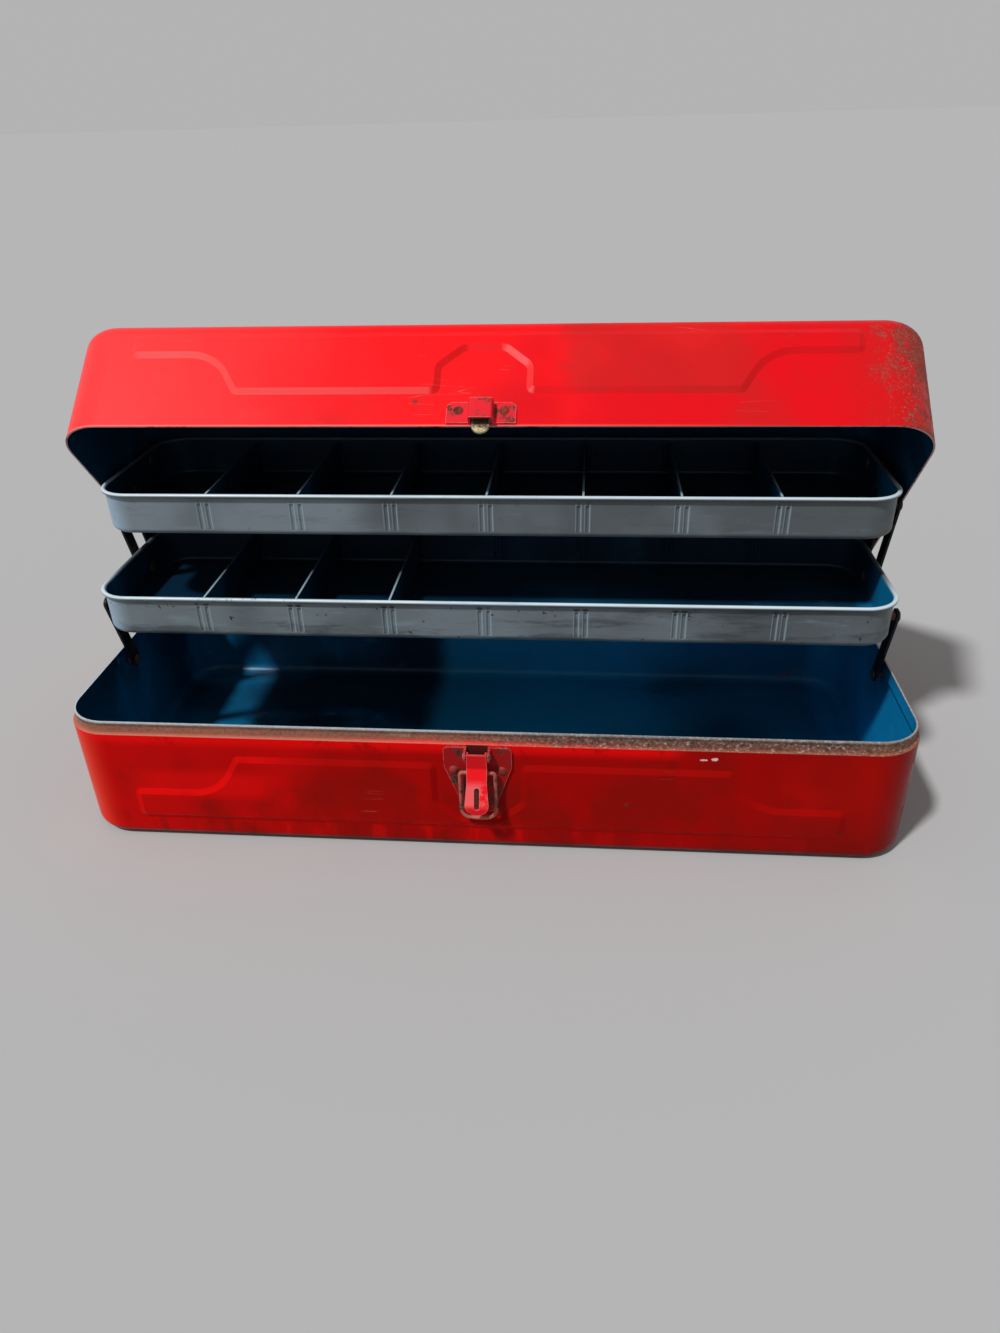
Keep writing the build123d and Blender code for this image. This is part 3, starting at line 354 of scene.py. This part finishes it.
def lip_paint():
    """The lip that the lid closes over: rubbed to tan at the left, brown and granular at the
    right, with a bare bright edge along the top and fresh red paint on the shoulder's edge."""
    look = Look("lip_worn_steel", 0.6)
    spot = look.place()
    x, y, z = look.axes(spot)
    grain = look.noise(spot, 620.0, 4.0, 0.8)
    blotch = look.noise(spot, 45.0, 5.0, 0.6)
    run = look.noise(spot, 16.0, 2.0, 0.5, shift=2.0)
    right = (x + run * 0.08).ramp(0.01, 0.10)
    colour = look.mix(blotch.ramp(0.44, 0.62) * 0.7, TAN, RUST)
    colour = look.mix(right * 0.85, colour, LIP_BROWN)
    colour = look.mix(blotch.ramp(0.54, 0.64) * (1.0 - right) * 0.45, colour, PALE_TAN)
    colour = look.mix(grain.ramp(0.48, 0.42) * (0.35 + right * 0.5), colour, DARK)
    colour = look.mix(grain.ramp(0.57, 0.63) * (0.12 + right * 0.55), colour, BARE)
    colour = look.mix(x.ramp(0.170, 0.198) * blotch.ramp(0.40, 0.60) * 0.7, colour, OCHRE)
    rise = z - SHOULDER
    fresh = x.ramp(-0.070, -0.015) * x.ramp(0.100, 0.035) * blotch.ramp(0.34, 0.50)
    colour = look.mix(rise.ramp(0.0016, 0.0002) * (0.75 - right * 0.5), colour,
                      look.mix(fresh, SHOULDER_TAN, SHOULDER_RED))
    # Painted shade: a dark band on the lip's outer face just under its top edge.
    colour = look.mix(abs(rise - 0.0041).ramp(0.0010, 0.0003) * (0.25 + blotch * 0.5), colour, DARK)
    top = rise.ramp(0.0047, 0.0054) * (1.0 - right * 0.6)
    colour = look.mix((top * (0.35 + grain)).clamp(), colour, PALE)
    return look.finish(colour, rough=0.35 + grain * 0.4, metal=top * 0.4, height=grain + blotch * 0.5,
                       depth=0.0003)


def blue_paint(name, lid=False, marks=0.5, deep=0.5, rubbed=None, front=None):
    """Satin enamel inside the box: darker in patches and streaked, scuffed where tools lay,
    painted lighter as a band of light between two places along the box where rubbed gives them,
    with painted shade beside that band, and darkened with painted shade away from a tray's front."""
    look = Look(name, 0.36, spec=0.4)
    spot = look.place(lid)
    x, y, z = look.axes(spot)
    cloud = look.noise(spot, 7.0, 3.0, 0.5, shift=1.0)
    streak = look.noise(spot, 24.0, 5.0, 0.6, stretch=(0.5, 1.0, 0.35))
    scuff = look.noise(spot, 90.0, 5.0, 0.65, stretch=(0.5, 1.0, 1.0), shift=4.0)
    speck = look.noise(spot, 800.0, 2.0, 0.5)
    colour = look.mix((cloud + (deep - 0.5) * 0.3).ramp(0.40, 0.60), BLUE, DEEP_BLUE)
    if rubbed:
        # Painted light: a lighter band of blue between near and far, with painted shade left of it and over
        # the right part short of the end wall.
        near, far = rubbed
        share = (x + streak * 0.02).ramp(near, near + 0.014) * x.ramp(far, near + 0.03)
        colour = look.mix(share * 0.8, colour, LIT_BAND_BLUE)
        painted_shade = x.ramp(near + 0.008, near - 0.008) + x.ramp(0.070, 0.130) * x.ramp(0.192, 0.180)
        colour = look.mix(painted_shade * 0.45, colour, SHADE_BLUE)
    colour = look.mix(streak.ramp(0.52, 0.70) * 0.4, colour, BLUE)
    colour = look.mix(streak.ramp(0.42, 0.30) * 0.5, colour, DEEP_BLUE)
    colour = look.mix(scuff.ramp(0.58, 0.68) * streak.ramp(0.48, 0.60) * marks, colour, SCUFF_BLUE)
    # Painted shade: darker away from the tray's front, lifted on the right end walls near the front, where the
    # key light falls.
    if front is not None:
        colour = look.mix((y - front + streak * 0.01).ramp(0.012, 0.050) * 0.8, colour, SHADE_BLUE)
        colour = look.mix(x.ramp(0.184, 0.190) * (y - front).ramp(0.060, 0.030) * 0.7, colour, BLUE)
    colour = look.mix((scuff + speck * 0.3).ramp(0.86, 0.90) * marks, colour, RUST)
    return look.finish(colour, rough=0.26 + scuff * 0.26, height=speck * 0.1 + streak * 0.5 + scuff * 0.25,
                       depth=0.00025)


def tray_paint(name, floor_z, marks):
    """Grey-blue enamel outside a tray: painted lighter at the left end and darker towards the right as
    painted light and shade, with a painted highlight along the ribs and painted shade at their tops,
    streaked and spotted with wear.
    """
    look = Look(name, 0.42, spec=0.4)
    spot = look.place()
    x, y, z = look.axes(spot)
    cloud = look.noise(spot, 14.0, 3.0, 0.5)
    drag = look.noise(spot, 75.0, 6.0, 0.7, stretch=(0.25, 1.0, 1.6), shift=2.0)
    fine = look.noise(spot, 500.0, 3.0, 0.6)
    spots = look.noise(spot, 260.0, 3.0, 0.6, shift=8.0)
    rise = z - floor_z
    # Painted shade: darker grey towards the right, in clouds that are partly uneven paint.
    colour = look.mix((cloud + x * 0.9).ramp(0.34, 0.62), GREY, DARK_GREY)
    colour = look.mix(marks * 0.3, colour, DARK_GREY)
    low = rise.ramp(0.012, 0.004) * x.ramp(0.06, -0.06).most(0.4)
    colour = look.mix((drag + low * marks * 0.09).ramp(0.53, 0.68) * (0.12 + marks * 0.6), colour,
                      STREAK_GREY)
    colour = look.mix(drag.ramp(0.44, 0.32) * (0.10 + marks * 0.25), colour, DULL_PALE)
    # Painted highlight: the left end is painted pale blue where the key light falls on it.
    colour = look.mix(x.ramp(-0.176, -0.190) * 0.8, colour, LIT_END_BLUE)
    # a pale line is painted along the ribs of the divider slots as a highlight
    along = abs(look.node("ShaderNodeMath", 0, {0: x, 1: SLOT_PITCH / 2, 2: -SLOT_PITCH / 2},
                          operation="WRAP"))
    rib = abs(along - RIB_OFFSET)
    long_side = abs(x).ramp(0.145, 0.142)
    line = abs(rib - 0.0011).ramp(0.0006, 0.0001) * rise.ramp(0.0025, 0.0040) * rise.ramp(0.0185, 0.0165)
    colour = look.mix(line * long_side * (0.35 + drag * 0.4), colour, RIB_HIGHLIGHT)
    # painted shade: a pair of dark spots at the top of each slot's grooves; and a few dark specks below the
    # rim
    pair = rib.ramp(0.0020, 0.0009) * abs(rise - 0.0177).ramp(0.0010, 0.0004) * long_side
    colour = look.mix(pair * marks * spots.ramp(0.36, 0.46), colour, DARK)
    under = rise.ramp(0.010, 0.017)
    colour = look.mix((spots + under * 0.03).ramp(0.69, 0.72) * marks, colour, DARK)
    height = fine * 0.15 + drag * (0.1 + marks * 0.6) + spots * under * marks * 0.5
    return look.finish(colour, rough=0.30 + drag * 0.3, height=height, depth=0.0003)


def rim_paint(name, front):
    """A rolled rim: pale where it faces up and dark grey where it faces down, streaked and spotted, and
    darkened with painted shade behind the tray's front.
    """
    look = Look(name, 0.34, spec=0.5)
    spot = look.place()
    x, y, z = look.axes(spot)
    fine = look.noise(spot, 380.0, 4.0, 0.6)
    drag = look.noise(spot, 30.0, 5.0, 0.6, stretch=(0.4, 0.4, 1.0))
    normal = look.axes(look.node("ShaderNodeTexCoord", "Normal", {}))
    colour = look.mix(normal[2].ramp(-0.1, 0.6), DARK_GREY, PALE)
    colour = look.mix(drag.ramp(0.48, 0.72) * 0.6, colour, DULL_PALE)
    colour = look.mix((fine + drag).ramp(1.22, 1.30) * 0.7, colour, DARK_GREY)
    # Painted shade behind the tray's front.
    colour = look.mix((y - front).ramp(0.008, 0.040) * 0.85, colour, SHADE_BLUE)
    return look.finish(colour, rough=0.26 + fine * 0.2, height=fine * 0.3, depth=0.00015)


def worn_metal(name, base, worn, share, rough=0.4, metal=0.8, scale=1.0, lid=False, edge=None,
               edge_wide=0.0007, front=None):
    """A small plated, painted or bare fitting: base colour worn and rusted in places, with its
    edges rubbed to another colour where one is given, and darkened with painted shade away from a tray's
    front."""
    look = Look(name, rough, metal=metal, spec=0.5 if metal > 0.25 else 0.16)
    spot = look.place(lid)
    grime = look.noise(spot, 150.0 * scale, 7.0, 0.7)
    fine = look.noise(spot, 900.0 * scale, 3.0, 0.6, shift=2.0)
    lump = look.noise(spot, 45.0 * scale, 2.0, 0.5, shift=6.0)
    wear = (grime * 0.7 + lump * 0.3 - (0.62 - share * 0.25)).ramp(0.0, 0.12)
    colour = look.mix(wear, base, worn)
    if edge:
        rubbed = look.edges(edge_wide) * grime.ramp(0.30, 0.52)
        colour = look.mix(rubbed * 0.85, colour, edge)
    if front is not None:
        y = look.axes(spot)[1]
        # Painted shade away from the tray's front.
        colour = look.mix((y - front).ramp(0.010, 0.045) * 0.85, colour, SHADE_BLUE)
    colour = look.mix((fine + wear * 0.2).ramp(0.66, 0.74) * 0.7, colour, DARK)
    return look.finish(colour, rough=rough + wear * 0.3 + fine * 0.08, metal=metal * (1.0 - wear * 0.7),
                       height=fine * 0.2 + grime * 0.5 - wear * 0.3, depth=0.0003)


def lever_paint():
    """Enamel on the latch lever: bright, dulled above its bend and pale beside the slot, partly
    rubbed paint and partly a painted highlight, stronger on the left, where the key light falls."""
    look = Look("latch_lever_enamel", 0.32, spec=0.2)
    spot = look.place()
    x, y, z = look.axes(spot)
    low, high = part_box("latch_lever")
    down = (high.z - z) / (high.z - low.z)
    grime = look.noise(spot, 190.0, 6.0, 0.65, shift=2.0)
    fine = look.noise(spot, 900.0, 3.0, 0.6)
    colour = look.mix(down.ramp(0.27, 0.23) * 0.7, LEVER_RED, LEVER_DULL)
    # The pale beside the slot is partly rubbed paint and partly a painted highlight, stronger on the left.
    side = (x / high.x).ramp(0.9, -0.5)
    rubbed = down.ramp(0.40, 0.56) * down.ramp(0.90, 0.78) * (grime + side * 0.22).ramp(0.46, 0.62)
    colour = look.mix(rubbed * 0.75, colour, LEVER_PINK)
    colour = look.mix(down.ramp(0.86, 0.94) * 0.4, colour, LEVER_DULL)
    colour = look.mix(look.edges(0.0007) * grime.ramp(0.30, 0.50) * 0.8, colour, PINK)
    colour = look.mix((grime + fine * 0.3).ramp(0.80, 0.86) * 0.7, colour, BROWN)
    return look.finish(colour, rough=0.28 + rubbed * 0.25 + fine * 0.08, height=fine * 0.2 - rubbed * 0.4,
                       depth=0.0003)


lid_red = lid_paint()
base_red = base_paint()
lip = lip_paint()
lid_edge = worn_metal("lid_bare_edge", (0.60, 0.36, 0.32), RUST, 0.4, 0.4, 0.2, lid=True)
# Painted shade: the lid's inside is painted deeper blue than the base's and the trays'.
lid_blue = blue_paint("lid_blue_enamel", True, 0.25, 1.3)
# The base's inside gets the painted light band between -0.040 and 0.160 along the box.
base_blue = blue_paint("base_blue_enamel", False, 0.5, 0.5, (-0.040, 0.160))
black = worn_metal("black_arm_enamel", BLACK, (0.07, 0.05, 0.04), 0.35, 0.42, 0.2)
plate_red = worn_metal("latch_plate_enamel", (0.36, 0.003, 0.005), BROWN, 0.62, 0.38, 0.0, edge=PINK)
lever_red = lever_paint()
catch_red = worn_metal("catch_red_enamel", (0.80, 0.012, 0.026), BROWN, 0.40, 0.34, 0.0, lid=True, edge=PINK)
rusty = worn_metal("rusty_wire", (0.50, 0.13, 0.10), RUST, 0.6, 0.5, 0.1)
rusty_red = worn_metal("rusty_red_rivets", (0.34, 0.04, 0.03), BROWN, 0.6, 0.5, 0.1)
plated = worn_metal("dull_plated_steel", STEEL, RUST, 0.35, 0.34, 0.9)
dark_rivet = worn_metal("dark_rivet_steel", (0.09, 0.085, 0.08), RUST, 0.5, 0.45, 0.7)
brass = worn_metal("tarnished_brass", BRASS, TARNISH, 1.1, 0.3, 0.6, lid=True, edge=(0.97, 0.93, 0.76),
                   edge_wide=0.0016)


# ---- Putting the looks on ---------------------------------------------------------------------
def shut(point, lid):
    """The point as it lies on the shut box."""
    if not lid:
        return point
    return Matrix.Rotation(LID_OPEN, 3, "X") @ (point - Vector(HINGE)) + Vector(HINGE)


def wear(name, looks, choose=None):
    """Gives a CAD node its materials; choose(centre, normal) picks one for each face."""
    obj = frame["nodes"][name]
    lid = obj["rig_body"] in LID_BODIES
    obj.data.materials.clear()
    for look in looks:
        obj.data.materials.append(look)
    for face in obj.data.polygons:
        picked = 0
        if choose:
            centre = shut(face.center, lid)
            normal = shut(face.center + face.normal, lid) - centre
            picked = choose(centre, normal)
        face.material_index = picked


def shell(middle, edge=None):
    """Chooser for a shell: 0 outside, 1 inside, 2 where edge says so."""
    def choose(centre, normal):
        if edge and edge(centre, normal):
            return 2
        return 0 if normal.dot(centre - middle) > 0 else 1
    return choose


wear("lid_shell", [lid_red, lid_blue, lid_edge],
     shell(Vector((0, 0, 0.07)), lambda c, n: c.z < LID_RIM + 0.00005 and n.z < -0.9))
wear("base_shell", [base_red, base_blue, lip],
     shell(Vector((0, 0, 0.045)),
           lambda c, n: c.z > SHOULDER - 0.0004 and n.dot(c - Vector((0, 0, 0.045))) > 0))


def corner(c, low, high):
    """Whether a point near the rim's height lies on the rolled rim's rounded corners."""
    dx = abs(c.x) - (high.x - RIM_CORNER)
    dy = abs(c.y - (low.y + high.y) / 2) - ((high.y - low.y) / 2 - RIM_CORNER)
    return dx > 0 and dy > 0 and math.hypot(dx, dy) > RIM_CORNER - RIM_WIDE


def tray_chooser(low, high):
    """Chooser for a tray: 0 outside, 1 inside, 2 on the rolled rim."""
    middle = (low + high) / 2

    def choose(c, n):
        if c.z > high.z - 0.00235 and (abs(c.x) > high.x - RIM_WIDE or c.y < low.y + RIM_WIDE
                                       or c.y > high.y - RIM_WIDE or corner(c, low, high)):
            return 2
        if c.z < low.z + 0.0003:
            return 0
        if low.z + 0.0005 < c.z < low.z + 0.0011 and n.z > 0.5:
            return 1
        spot = c - middle
        # the grooves in the long walls' outer faces are painted as the outside is
        depth = (high.y - low.y) / 2 - RIM_IN - abs(spot.y)
        if c.z > low.z + 0.0029 and abs(c.x) < SLOT_PITCH * 3.2 and abs(depth) < 0.0017:
            return 0 if depth < 0.00075 else 1
        if abs(n.y) > abs(n.x) and abs(spot.y) > (high.y - low.y) * 0.40:
            return 0 if n.y * spot.y > 0 else 1
        return 0 if n.x * spot.x + n.y * spot.y > 0 else 1
    return choose


# Each tray with its dividers, and how much its front is marked.
for name, marks in (("lower", 0.9), ("upper", 0.25)):
    low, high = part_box(name + "_tray")
    inside = blue_paint(name + "_tray_blue", False, 0.5, 0.8, front=low.y)
    wear(name + "_tray", [tray_paint(name + "_tray_grey", low.z, marks), inside,
                          rim_paint(name + "_tray_rim", low.y)], tray_chooser(low, high))
    edge = worn_metal(name + "_divider_edge", (0.42, 0.55, 0.62), DARK_GREY, 0.35, 0.4, 0.2, front=low.y)
    for divider in frame["nodes"]:
        if divider.startswith(name + "_divider"):
            wear(divider, [inside, edge], lambda c, n: 1 if n.z > 0.6 else 0)

for name in frame["nodes"]:
    if name.startswith(("front_arm", "long_arm", "rear_arm", "lid_link")):
        wear(name, [black])
    elif name.startswith(("lower_tray_pivot", "upper_tray_pivot")):
        wear(name, [dark_rivet])
    elif name.startswith(("hinge", "handle", "carrying")):
        wear(name, [plated])
wear("latch_plate", [plate_red])
wear("latch_lever", [lever_red])
wear("latch_pin", [rusty])
wear("latch_bail", [rusty])
wear("latch_bail_bush", [rusty])
wear("lid_catch", [catch_red])
wear("catch_tongue", [brass])


# Rivet tails inside the box were painted over with the inside; pivot heads outside, with the red.
def behind_front(c, n): return 1 if c.y > FRONT + SHEET / 2 else 0
def before_back(c, n): return 1 if c.y < -FRONT - SHEET / 2 else 0
def under_top(c, n): return 1 if c.z < LID_TOP - SHEET / 2 else 0
def inside_end(c, n): return 1 if abs(c.x) < END - SHEET / 2 else 0


wear("latch_plate_rivets", [rusty_red, base_blue], behind_front)
wear("catch_rivets", [rusty_red, lid_blue], behind_front)
wear("hinge_base_rivets", [plated, base_blue], before_back)
wear("hinge_lid_rivets", [plated, lid_blue], before_back)
wear("handle_rivets", [plated, lid_blue], under_top)
wear("base_pivot_rivets", [rusty_red, dark_rivet], inside_end)
wear("lid_pivot_rivets", [rusty_red, dark_rivet], inside_end)


# ---- Floor, light and camera ----------------------------------------------------------------------
# The camera and reflections see an even grey floor and sky; the floor gives back less light than
# that to the object, and keeps its shadow.
BACKDROP = 0.451          # linear grey that the camera sees
FLOOR_SEEN = 0.460        # floor colour that renders as the backdrop under the lamps
FLOOR_LIT = 0.30          # floor colour for the light that it throws back
SKY = 0.32                # strength of the even light from the world
SUN_FROM = (-0.38, -0.41, 0.83)
SUN_STRENGTH = 2.65
SUN_SPREAD = math.radians(5)


def seen_by_eye(tree):
    """1 for camera, glossy and transmission rays, 0 for the light on the object."""
    path = tree.nodes.new("ShaderNodeLightPath")
    share = path.outputs["Is Camera Ray"]
    for ray in ("Is Glossy Ray", "Is Transmission Ray"):
        either = tree.nodes.new("ShaderNodeMath")
        either.operation = "MAXIMUM"
        tree.links.new(share, either.inputs[0])
        tree.links.new(path.outputs[ray], either.inputs[1])
        share = either.outputs[0]
    return share


def by_eye(tree, unseen, seen, target):
    """Grey level for each kind of ray, into a colour socket."""
    grey = tree.nodes.new("ShaderNodeMix")
    grey.data_type = "RGBA"
    grey.inputs[6].default_value = (unseen, unseen, unseen, 1)
    grey.inputs[7].default_value = (seen, seen, seen, 1)
    tree.links.new(seen_by_eye(tree), grey.inputs[0])
    tree.links.new(grey.outputs[2], target)


bpy.ops.mesh.primitive_plane_add(size=60, location=(0, 0, -0.0002))
floor = bpy.context.object
floor.name = "studio_floor"
floor_look = Look("studio_grey", 0.95, spec=0.0)
by_eye(floor_look.tree, FLOOR_LIT, FLOOR_SEEN, floor_look.shader.inputs["Base Color"])
floor.data.materials.append(floor_look.material)

world = bpy.data.worlds.new("studio")
bpy.context.scene.world = world
world.use_nodes = True
by_eye(world.node_tree, SKY, BACKDROP, world.node_tree.nodes["Background"].inputs["Color"])

sun = bpy.data.lights.new("key", "SUN")
sun.energy, sun.angle = SUN_STRENGTH, SUN_SPREAD
lamp = bpy.data.objects.new("key", sun)
bpy.context.scene.collection.objects.link(lamp)
lamp.rotation_euler = Vector(SUN_FROM).to_track_quat("Z", "Y").to_euler()

scene = bpy.context.scene
scene.view_settings.view_transform = "Standard"
right = Vector((0.99602, 0.08524, -0.02587))
down = Vector((0.02075, -0.50445, -0.86319))
forward = Vector((-0.08663, 0.85922, -0.50421))
camera = bpy.data.objects.new("camera", bpy.data.cameras.new("camera"))
scene.collection.objects.link(camera)
scene.camera = camera
camera.matrix_world = Matrix.Translation((0.04803, -0.44282, 0.3148)) @ Matrix(
    (right, -down, -forward)).transposed().to_4x4()
camera.data.sensor_width = 36.0
camera.data.lens = 25.855
camera.data.clip_start = 0.01
